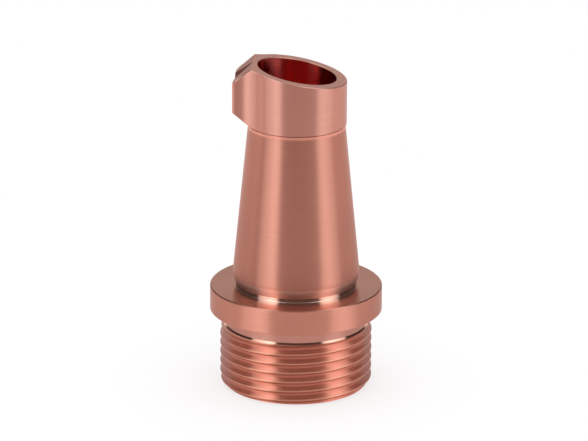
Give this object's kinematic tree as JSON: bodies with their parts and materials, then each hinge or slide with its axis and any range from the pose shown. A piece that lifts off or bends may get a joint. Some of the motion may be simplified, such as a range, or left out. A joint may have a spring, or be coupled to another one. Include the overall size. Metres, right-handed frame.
{
  "type": "laser welding nozzle",
  "caption": "One-piece copper nozzle for a hand-held laser welding torch: threaded end, flange, tapered body and slanted outlet with a grooved wire guide nose.",
  "frame": {"origin": "centre of the lower, threaded end face, on the nozzle's axis", "axes": "+Z along the axis from the threaded end to the outlet, -X towards the wire guide nose"},
  "size_m": [0.018, 0.018, 0.0347],
  "materials": {
    "copper": "bare copper, finely turned, satin to bright"
  },
  "bodies": {
    "root": {"nozzle": "copper"}
  },
  "joints": []
}
